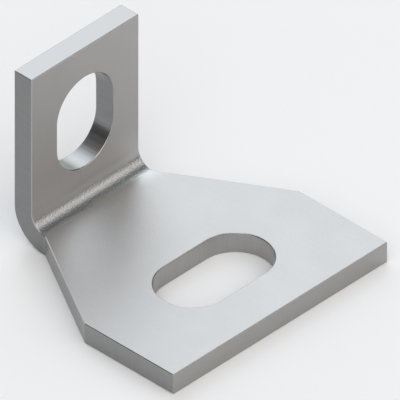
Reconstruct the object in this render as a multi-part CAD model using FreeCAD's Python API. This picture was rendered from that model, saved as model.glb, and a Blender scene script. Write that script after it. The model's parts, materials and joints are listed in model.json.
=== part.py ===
"""Angle bracket folded from one piece of steel sheet: a narrow upright leg and a wider base leg.

Each leg has one obround slot for a bolt. The base leg leaves the bend with the upright's width, widens
along two straight tapers, and then keeps its full width up to its front edge.

Millimetres. The origin is the centre of the base slot on the bracket's underside. +X runs from the
upright towards the base's front edge, +Y along the bend, and +Z up the upright.
"""

import FreeCAD, Part

import math
import os

# Driving dimensions of the sheet and the fold
SHEET_THICKNESS = 4.0
INNER_BEND_RADIUS = 3.0
EDGE_RADIUS = 0.2  # every cut edge is tumbled smooth

# Driving dimensions of the upright leg
UPRIGHT_HEIGHT = 34.0  # underside of the base to the top edge
UPRIGHT_WIDTH = 25.0

# Driving dimensions of the base leg
BASE_LENGTH = 48.0  # outer face of the upright to the front edge
BASE_WIDTH = 50.0
FULL_WIDTH_LENGTH = 20.0  # length of the two parallel sides behind the front edge

# Driving dimensions of the slots; a slot's travel is the distance between the centres of its round ends
BOLT_DIAMETER = 12.0
BOLT_CLEARANCE = 1.0  # on the bolt's diameter
UPRIGHT_SLOT_TRAVEL = 5.0
UPRIGHT_SLOT_FROM_TOP = 15.0  # slot's centre to the top edge
BASE_SLOT_TRAVEL = 10.0
BASE_SLOT_FROM_FRONT = 15.0  # slot's centre to the front edge

# Sizes and places that follow from them
SLOT_WIDTH = BOLT_DIAMETER + BOLT_CLEARANCE
OUTER_BEND_RADIUS = INNER_BEND_RADIUS + SHEET_THICKNESS
FRONT_X = BASE_SLOT_FROM_FRONT
HEEL_X = FRONT_X - BASE_LENGTH  # the plane of the upright's outer face
BEND_END_X = HEEL_X + OUTER_BEND_RADIUS  # where the bend runs out into the flat base
TAPER_END_X = FRONT_X - FULL_WIDTH_LENGTH
UPRIGHT_SLOT_Z = UPRIGHT_HEIGHT - UPRIGHT_SLOT_FROM_TOP

FORWARD = FreeCAD.Vector(1, 0, 0)
ACROSS = FreeCAD.Vector(0, 1, 0)
UP = FreeCAD.Vector(0, 0, 1)

SMALLEST_CREASE = math.radians(5)  # faces that meet at less than this are tangent to each other


def bend_arc(radius):
    """A quarter circle about the bend's axis, from the upright down to the base."""
    centre = FORWARD * BEND_END_X + UP * OUTER_BEND_RADIUS
    halfway = (FORWARD + UP) * radius * math.sin(math.radians(45))
    return Part.Arc(centre - FORWARD * radius, centre - halfway, centre - UP * radius).toShape()


def folded_section():
    """The sheet's section in the plane of symmetry: two straight legs with the bend between them."""
    outer_arc = bend_arc(OUTER_BEND_RADIUS)
    inner_arc = bend_arc(INNER_BEND_RADIUS)
    outer_high, outer_low = [vertex.Point for vertex in outer_arc.Vertexes]
    inner_high, inner_low = [vertex.Point for vertex in inner_arc.Vertexes]
    upright_end = Part.makeLine(
        FreeCAD.Vector(outer_high.x, 0, UPRIGHT_HEIGHT),
        FreeCAD.Vector(inner_high.x, 0, UPRIGHT_HEIGHT),
    )
    base_end = Part.makeLine(
        FreeCAD.Vector(FRONT_X, 0, outer_low.z),
        FreeCAD.Vector(FRONT_X, 0, inner_low.z),
    )
    outer_top, inner_top = [vertex.Point for vertex in upright_end.Vertexes]
    front_bottom, front_top = [vertex.Point for vertex in base_end.Vertexes]
    loop = [
        outer_arc,
        Part.makeLine(outer_low, front_bottom),
        base_end,
        Part.makeLine(front_top, inner_low),
        inner_arc,
        Part.makeLine(inner_high, inner_top),
        upright_end,
        Part.makeLine(outer_top, outer_high),
    ]
    return Part.Face(Part.Wire(loop))


def folded_strip():
    """The folded section drawn out over the base's full width."""
    section = folded_section()
    section.translate(ACROSS * -BASE_WIDTH / 2)
    return section.extrude(ACROSS * BASE_WIDTH)


def plan_prism():
    """The bracket's outline seen from above, as a block as tall as the upright."""
    one_side = [
        (HEEL_X, UPRIGHT_WIDTH / 2),
        (BEND_END_X, UPRIGHT_WIDTH / 2),
        (TAPER_END_X, BASE_WIDTH / 2),
        (FRONT_X, BASE_WIDTH / 2),
    ]
    other_side = [(x, -y) for x, y in reversed(one_side)]
    corners = [FreeCAD.Vector(x, y, 0) for x, y in one_side + other_side]
    outline = Part.makePolygon(corners + corners[:1])
    return Part.Face(outline).extrude(UP * UPRIGHT_HEIGHT)


def slot_cutter(centre, along, through, travel):
    """An obround block that starts at centre and runs through the sheet, far enough to open a bend too."""
    radius = SLOT_WIDTH / 2
    side = through.cross(along) * radius
    tip = along * radius
    first, last = centre - along * travel / 2, centre + along * travel / 2
    loop = [
        Part.makeLine(first + side, last + side),
        Part.Arc(last + side, last + tip, last - side).toShape(),
        Part.makeLine(last - side, first - side),
        Part.Arc(first - side, first - tip, first + side).toShape(),
    ]
    return Part.Face(Part.Wire(loop)).extrude(through * OUTER_BEND_RADIUS)


def base_slot():
    """The cutter for the slot across the base, which is centred on the origin."""
    return slot_cutter(FreeCAD.Vector(), ACROSS, UP, BASE_SLOT_TRAVEL)


def upright_slot():
    """The cutter for the slot that runs up the upright."""
    centre = FORWARD * HEEL_X + UP * UPRIGHT_SLOT_Z
    return slot_cutter(centre, UP, FORWARD, UPRIGHT_SLOT_TRAVEL)


def is_crease(edge, solid):
    """True where the edge's two faces meet at an angle, and false where one runs smoothly into the other."""
    middle = edge.valueAt((edge.FirstParameter + edge.LastParameter) / 2)
    normals = [
        face.normalAt(*face.Surface.parameter(middle))
        for face in solid.ancestorsOfType(edge, Part.Face)
    ]
    return normals[0].getAngle(normals[1]) > SMALLEST_CREASE


def angle_bracket():
    """The whole bracket: folded, cut to its outline, slotted, and tumbled on every edge."""
    sharp = folded_strip().common(plan_prism()).cut([base_slot(), upright_slot()]).Solids[0]
    creases = [edge for edge in sharp.Edges if is_crease(edge, sharp)]
    return sharp.makeFillet(EDGE_RADIUS, creases).Solids[0]


def main():
    os.makedirs("parts", exist_ok=True)
    bracket = angle_bracket()
    bracket.exportStep("parts/angle_bracket.step")
    size = bracket.optimalBoundingBox()
    print(f"angle_bracket: valid {bracket.isValid()}, {bracket.Volume:.1f} mm3")
    print(f"overall {size.XLength:.2f} x {size.YLength:.2f} x {size.ZLength:.2f} mm")


main()
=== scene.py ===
"""The looks of a folded steel angle bracket: satin metal, a pale floor, soft studio light and the view."""

import json
import math

import bpy
from mathutils import Matrix, Vector


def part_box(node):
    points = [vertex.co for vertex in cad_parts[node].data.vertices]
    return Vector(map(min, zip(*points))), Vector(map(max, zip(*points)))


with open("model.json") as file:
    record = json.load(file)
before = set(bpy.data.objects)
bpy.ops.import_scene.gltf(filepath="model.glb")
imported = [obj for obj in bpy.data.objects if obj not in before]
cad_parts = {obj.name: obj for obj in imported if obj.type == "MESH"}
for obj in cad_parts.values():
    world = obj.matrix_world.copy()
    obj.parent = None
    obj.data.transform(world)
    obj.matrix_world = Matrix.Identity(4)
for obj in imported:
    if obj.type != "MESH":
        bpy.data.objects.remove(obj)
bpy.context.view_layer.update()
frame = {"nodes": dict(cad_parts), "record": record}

# The sheet and its bend, in metres, from the frame and the one radius that the frame doesn't give
BRACKET = "angle_bracket"
MOUNTS = {mount["name"]: mount for mount in frame["record"]["mounts"]}
LOW_CORNER, HIGH_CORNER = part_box(BRACKET)
HEEL_X = LOW_CORNER.x
FRONT_X = HIGH_CORNER.x
TOP_Z = HIGH_CORNER.z
SHEET_THICKNESS = MOUNTS["base_washer_face"]["pos_m"][2]
INNER_BEND_RADIUS = 0.003
MIDDLE_BEND_RADIUS = INNER_BEND_RADIUS + SHEET_THICKNESS / 2
OUTER_BEND_RADIUS = INNER_BEND_RADIUS + SHEET_THICKNESS
BEND_AXIS_X = HEEL_X + OUTER_BEND_RADIUS
BEND_AXIS_Z = OUTER_BEND_RADIUS

# Where the steel's looks change, in metres. Each pair is where a change begins and where it ends
CUT_SKIN = (0.00001, 0.00004)  # depth below the sheet's faces
EDGE_SKIN = (0.00014, 0.00020)  # depth where the rounded edges end
END_SKIN = 0.0002  # depth below the front and top edges
# The strip that the press closed is smoother, and along it the faces are painted darker, a painted shade
# along the bend
PRESSED_MIDDLE = 0.0030  # run to the middle of the strip that the press closed
PRESSED_FADE = (0.0005, 0.0060)  # distance from that middle
# This run also brings in the upright's painted shade
UPRIGHT_RUN = (0.006, 0.014)  # run from the base's looks to the upright's
OUTLINE_HALF_WIDTH = (0.0117, 0.0123)  # between the slots' ends and the outline's sides
# These two also set where the cut faces' painted shade and painted light begin and end
OUTLINE_SHADE_RUN = (-0.0002, 0.0008)  # run from the base's sides to the upright's
SLOT_SHADE_RISE = (0.010, 0.016)  # height from the base slot and the upright slot's foot to its sides

# The sheet's faces. Sizes and heights are in metres
GRAIN_SIZE = 0.00036
GRAIN_HEIGHT = 0.000035
PRESSED_GRAIN_HEIGHT = 0.000052
LINE_SIZE = 0.0004
LINE_STRETCH = 0.06  # rolled and sheared lines vary this many times as fast along as across
PATCH_SIZE = 0.006
PATCH_SHARE = 0.6  # the rest of the faces' tone comes from the rolled lines
FACE_COLOURS = ((0.551, 0.541, 0.530, 1), (0.575, 0.564, 0.552, 1))  # darkest and lightest
# Painted shade: the faces along the bend are painted this darker grey
CREASE_SHADE_COLOUR = (0.443, 0.451, 0.440, 1)
# Painted shade: the upright's faces are painted darker than the base's, to offset the brighter floor that
# they reflect
FACE_PAINTED_SHADES = (1.0, 0.87)  # base and upright
FACE_ROUGHNESSES = (0.48, 0.60)  # base and upright
PRESSED_ROUGHNESS = 0.18
ROUGHNESS_MOTTLE = (-0.015, 0.015)

# The cut faces. In each pair of colours the first is the base's and the second is the upright's. The
# upright's cut sides and slot walls are painted darker than the base's, a painted shade, and the base
# slot's walls are painted lighter than the base's outline, a painted light.
STRIATION_SIZE = 0.0004
STRIATION_HEIGHT = 0.000020
STREAK_SHADES = (0.97, 1.03)
OUTLINE_SHADED_COLOURS = ((0.302, 0.302, 0.302, 1), (0.237, 0.237, 0.237, 1))
SLOT_SHADED_COLOURS = ((0.382, 0.378, 0.370, 1), (0.242, 0.242, 0.242, 1))  # the upright slot's foot has the first
END_COLOURS = ((0.391, 0.381, 0.371, 1), (0.438, 0.430, 0.422, 1))
EDGE_COLOUR = (0.40, 0.40, 0.40, 1)
CUT_ROUGHNESSES = (0.29, 0.33)
END_ROUGHNESS = 0.36
EDGE_ROUGHNESS = 0.15

# The noises of the faces and the cut faces
NOISE_RANGE = (0.3, 0.7)  # most of a noise's values lie between these
FINE_OCTAVES = 2.0  # in the grain and the striations
TONE_OCTAVES = 3.0  # in the rolled lines and the patches

# The photograph: a parallel projection with no roll
IMAGE_PIXELS = 400
PIXELS_PER_METRE = 6166
VIEW_AZIMUTH = math.radians(44.01)
VIEW_ELEVATION = math.radians(36.82)
HEEL_PIXEL = (67.62, 205.02)  # where the photograph shows the middle of the heel, at the underside
CAMERA_DISTANCE = 0.4

# The studio: soft boxes on a dome. Azimuths are from the camera's side, turning towards its right
FLOOR_SIZE = 4.0
FLOOR_COLOUR = (0.96, 0.96, 0.96, 1)
BACKDROP = (0.875, 0.880, 0.886, 1)  # as bright as the floor
BACKDROP_TOP = (0.01, 0.03)  # height on a dome of radius 1
AMBIENT = (0.02, 0.02, 0.02)
SOFT_BOXES = [
    # azimuth and elevation in degrees, tightness, colour
    (180, 33, 16, (1.72, 1.81, 1.90)),
    (198, 58, 18, (1.32, 1.44, 1.60)),
    (165, 16, 12, (0.30, 0.34, 0.33)),
    (92, 38, 18, (0.92, 0.90, 0.91)),
    (60, 33, 14, (1.30, 1.20, 1.12)),
    (350, 28, 9, (1.36, 1.35, 1.34)),
    (355, 64, 9, (1.80, 1.79, 1.78)),
    (225, 10, 14, (1.60, 1.60, 1.60)),
    (255, 14, 20, (0.12, 0.12, 0.12)),
]


class Nodes:
    """A node tree with short calls for the few kinds of node that the materials need."""

    def __init__(self, tree):
        self.tree = tree

    def add(self, kind, inputs=(), output=0, **settings):
        """Adds a node with these settings and inputs, and returns one of its outputs."""
        node = self.tree.nodes.new(kind)
        for name, value in settings.items():
            setattr(node, name, value)
        for key, value in dict(inputs).items():
            self.feed(node.inputs[key], value)
        return node.outputs[output]

    def feed(self, socket, value):
        """Links another node's output to the socket, or sets the socket to a number or a colour."""
        if isinstance(value, bpy.types.NodeSocket):
            self.tree.links.new(value, socket)
        else:
            socket.default_value = value

    def math(self, operation, *values):
        """One operation on numbers."""
        return self.add("ShaderNodeMath", enumerate(values), operation=operation)

    def vector_math(self, operation, *values, output="Vector"):
        """One operation on vectors or colours."""
        return self.add("ShaderNodeVectorMath", enumerate(values), output, operation=operation)

    def scaled(self, colour, factor):
        """A colour made brighter or darker by a factor."""
        return self.add("ShaderNodeVectorMath", {"Vector": colour, "Scale": factor}, operation="SCALE")

    def vector(self, x, y, z):
        """A vector from its three numbers."""
        return self.add("ShaderNodeCombineXYZ", {"X": x, "Y": y, "Z": z})

    def split(self, vector):
        """A vector's three numbers, as the outputs X, Y and Z."""
        node = self.tree.nodes.new("ShaderNodeSeparateXYZ")
        self.feed(node.inputs["Vector"], vector)
        return node.outputs

    def ramp(self, value, low, high, start=0.0, end=1.0):
        """Runs smoothly from start to end as value goes from low to high."""
        inputs = {"Value": value, "From Min": low, "From Max": high, "To Min": start, "To Max": end}
        return self.add("ShaderNodeMapRange", inputs, interpolation_type="SMOOTHSTEP")

    def noise(self, vector, size, octaves):
        """Soft noise from 0 to 1 whose lumps are about size across."""
        return self.add("ShaderNodeTexNoise", {"Vector": vector, "Scale": 1 / size, "Detail": octaves})

    def mix(self, factor, first, second, kind="FLOAT"):
        """Goes from the first number to the second as factor goes from 0 to 1."""
        inputs = {"Factor": factor, "A": first, "B": second}
        return self.add("ShaderNodeMix", inputs, "Result", data_type=kind)

    def mix_colour(self, factor, first, second):
        """Goes from the first colour to the second as factor goes from 0 to 1."""
        return self.mix(factor, first, second, "RGBA")


class Sheet:
    """A point's place on the sheet, in metres.

    As modelled it is x, across and z, and on the unfolded sheet it is run, across and depth. The run starts
    where the bend meets the base and grows up the upright. The depth is from the outer face.
    """

    def __init__(self, nodes):
        self.x, self.across, self.z = nodes.split(nodes.add("ShaderNodeTexCoord", output="Object"))
        before_bend = nodes.math("MAXIMUM", nodes.math("SUBTRACT", BEND_AXIS_X, self.x), 0.0)
        below_bend = nodes.math("MAXIMUM", nodes.math("SUBTRACT", BEND_AXIS_Z, self.z), 0.0)
        squares = [nodes.math("POWER", side, 2.0) for side in (before_bend, below_bend)]
        from_axis = nodes.math("SQRT", nodes.math("ADD", *squares))
        self.depth = nodes.math("SUBTRACT", OUTER_BEND_RADIUS, from_axis)
        turn = nodes.math("ARCTAN2", before_bend, below_bend)
        bend_run = nodes.math("MULTIPLY", turn, MIDDLE_BEND_RADIUS)
        base_run = nodes.math("MAXIMUM", nodes.math("SUBTRACT", self.x, BEND_AXIS_X), 0.0)
        upright_run = nodes.math("MAXIMUM", nodes.math("SUBTRACT", self.z, BEND_AXIS_Z), 0.0)
        self.run = nodes.math("SUBTRACT", nodes.math("ADD", bend_run, upright_run), base_run)


def face_look(nodes, sheet):
    """Colour, roughness and relief of the rolled faces, smoother where the press closed the bend. Along the
    bend the faces are painted darker, a painted shade, and the upright's faces are painted darker than the
    base's, a painted shade too.
    """
    surface = nodes.vector(sheet.run, sheet.across, sheet.depth)
    rolled = nodes.vector(nodes.math("MULTIPLY", sheet.run, LINE_STRETCH), sheet.across, sheet.depth)
    grain = nodes.noise(surface, GRAIN_SIZE, FINE_OCTAVES)
    lines = nodes.noise(rolled, LINE_SIZE, TONE_OCTAVES)
    patches = nodes.noise(surface, PATCH_SIZE, TONE_OCTAVES)
    from_middle = nodes.math("ABSOLUTE", nodes.math("SUBTRACT", sheet.run, PRESSED_MIDDLE))
    pressed_and_shaded = nodes.ramp(from_middle, *PRESSED_FADE, 1.0, 0.0)

    tone = nodes.ramp(nodes.mix(PATCH_SHARE, lines, patches), *NOISE_RANGE)
    # Painted shade on the upright's faces
    shade = nodes.ramp(sheet.run, *UPRIGHT_RUN, *FACE_PAINTED_SHADES)
    flat_colour = nodes.scaled(nodes.mix_colour(tone, *FACE_COLOURS), shade)
    # Painted shade along the bend
    colour = nodes.mix_colour(pressed_and_shaded, flat_colour, CREASE_SHADE_COLOUR)
    flat_roughness = nodes.ramp(sheet.run, *UPRIGHT_RUN, *FACE_ROUGHNESSES)
    mottle = nodes.ramp(patches, *NOISE_RANGE, *ROUGHNESS_MOTTLE)
    roughness = nodes.math("ADD", nodes.mix(pressed_and_shaded, flat_roughness, PRESSED_ROUGHNESS), mottle)
    relief = nodes.math("MULTIPLY", grain, nodes.mix(pressed_and_shaded, GRAIN_HEIGHT, PRESSED_GRAIN_HEIGHT))
    return colour, roughness, relief


def cut_look(nodes, sheet, skin):
    """Colour, roughness and relief of the cut faces, streaked by the shear and tumbled at their edges, with
    painted shade on the upright's cut faces and painted light on the base slot's walls.
    """
    sheared = nodes.vector(sheet.run, sheet.across, nodes.math("MULTIPLY", sheet.depth, LINE_STRETCH))
    striation = nodes.noise(sheared, STRIATION_SIZE, FINE_OCTAVES)
    front = nodes.ramp(sheet.x, FRONT_X - END_SKIN, FRONT_X)
    top = nodes.ramp(sheet.z, TOP_Z - END_SKIN, TOP_Z)
    end = nodes.math("MAXIMUM", front, top)
    outline = nodes.ramp(nodes.math("ABSOLUTE", sheet.across), *OUTLINE_HALF_WIDTH)

    # Painted shade on the upright's cut faces and painted light on the base slot's walls
    outline_colour = nodes.mix_colour(nodes.ramp(sheet.run, *OUTLINE_SHADE_RUN), *OUTLINE_SHADED_COLOURS)
    slot_colour = nodes.mix_colour(nodes.ramp(sheet.z, *SLOT_SHADE_RISE), *SLOT_SHADED_COLOURS)
    side_colour = nodes.mix_colour(outline, slot_colour, outline_colour)
    streaks = nodes.ramp(striation, *NOISE_RANGE, *STREAK_SHADES)
    end_colour = nodes.mix_colour(top, *END_COLOURS)
    flat_colour = nodes.mix_colour(end, nodes.scaled(side_colour, streaks), end_colour)
    side_roughness = nodes.ramp(striation, *NOISE_RANGE, *CUT_ROUGHNESSES)
    flat_roughness = nodes.mix(end, side_roughness, END_ROUGHNESS)
    flat = nodes.ramp(skin, *EDGE_SKIN)
    colour = nodes.mix_colour(flat, EDGE_COLOUR, flat_colour)
    roughness = nodes.mix(flat, EDGE_ROUGHNESS, flat_roughness)
    relief = nodes.math("MULTIPLY", striation, STRIATION_HEIGHT)
    return colour, roughness, relief


def satin_steel():
    """Steel sheet with a fine satin grain on its faces and fine streaks on its cut edges."""
    material = bpy.data.materials.new("satin_steel")
    material.use_nodes = True
    nodes = Nodes(material.node_tree)
    shader = material.node_tree.nodes["Principled BSDF"]
    sheet = Sheet(nodes)
    skin = nodes.math("MINIMUM", sheet.depth, nodes.math("SUBTRACT", SHEET_THICKNESS, sheet.depth))
    cut = nodes.ramp(skin, *CUT_SKIN)
    face_colour, face_roughness, face_relief = face_look(nodes, sheet)
    cut_colour, cut_roughness, cut_relief = cut_look(nodes, sheet, skin)
    height = nodes.mix(cut, face_relief, cut_relief)
    normal = nodes.add("ShaderNodeBump", {"Strength": 1.0, "Distance": 1.0, "Height": height})
    nodes.feed(shader.inputs["Base Color"], nodes.mix_colour(cut, face_colour, cut_colour))
    nodes.feed(shader.inputs["Roughness"], nodes.mix(cut, face_roughness, cut_roughness))
    nodes.feed(shader.inputs["Normal"], normal)
    shader.inputs["Metallic"].default_value = 1.0
    return material


def pale_floor():
    """The plain floor that the bracket stands on."""
    material = bpy.data.materials.new("pale_floor")
    material.use_nodes = True
    shader = material.node_tree.nodes["Principled BSDF"]
    shader.inputs["Base Color"].default_value = FLOOR_COLOUR
    shader.inputs["Roughness"].default_value = 1.0
    shader.inputs["Specular IOR Level"].default_value = 0.0
    bpy.ops.mesh.primitive_plane_add(size=FLOOR_SIZE, location=(0, 0, LOW_CORNER.z))
    floor = bpy.context.object
    floor.name = "floor"
    floor.data.materials.append(material)


def view_axes():
    """The photograph's right, up and back directions in the row frame."""
    right = Vector((math.cos(VIEW_AZIMUTH), math.sin(VIEW_AZIMUTH), 0))
    level_back = Vector((math.sin(VIEW_AZIMUTH), -math.cos(VIEW_AZIMUTH), 0))
    back = level_back * math.cos(VIEW_ELEVATION) + Vector((0, 0, math.sin(VIEW_ELEVATION)))
    return right, back.cross(right), back


def camera():
    """A parallel camera that puts the heel on the photograph's pixel."""
    right, up, back = view_axes()
    data = bpy.data.cameras.new("camera")
    data.type = "ORTHO"
    data.ortho_scale = IMAGE_PIXELS / PIXELS_PER_METRE
    middle = IMAGE_PIXELS / 2
    target = Vector((HEEL_X, 0, LOW_CORNER.z))
    target += right * (middle - HEEL_PIXEL[0]) / PIXELS_PER_METRE
    target -= up * (middle - HEEL_PIXEL[1]) / PIXELS_PER_METRE
    holder = bpy.data.objects.new("camera", data)
    turn = Matrix((right, up, back)).transposed().to_4x4()
    holder.matrix_world = Matrix.Translation(target + back * CAMERA_DISTANCE) @ turn
    bpy.context.scene.collection.objects.link(holder)
    bpy.context.scene.camera = holder


def studio_dome():
    """A dim even dome with soft boxes on it, each brightest in its middle, above a pale backdrop."""
    world = bpy.data.worlds.new("studio")
    world.use_nodes = True
    bpy.context.scene.world = world
    nodes = Nodes(world.node_tree)
    direction = nodes.add("ShaderNodeTexCoord", output="Generated")
    light = AMBIENT
    for azimuth, elevation, tightness, colour in SOFT_BOXES:
        heading = VIEW_AZIMUTH - math.pi / 2 + math.radians(azimuth)
        rise = math.radians(elevation)
        level = math.cos(rise)
        middle = (math.cos(heading) * level, math.sin(heading) * level, math.sin(rise))
        nearness = nodes.vector_math("DOT_PRODUCT", direction, middle, output="Value")
        farness = nodes.math("SUBTRACT", nearness, 1.0)
        glow = nodes.scaled(colour, nodes.math("EXPONENT", nodes.math("MULTIPLY", farness, tightness)))
        light = nodes.vector_math("ADD", light, glow)
    backdrop_end = nodes.ramp(nodes.split(direction)["Z"], *BACKDROP_TOP)
    seen = nodes.mix_colour(backdrop_end, BACKDROP, light)
    nodes.feed(world.node_tree.nodes["Background"].inputs["Color"], seen)


bracket = frame["nodes"][BRACKET]
bracket.material_slots[0].material = satin_steel()
pale_floor()
studio_dome()
camera()
bpy.context.scene.view_settings.view_transform = "Standard"
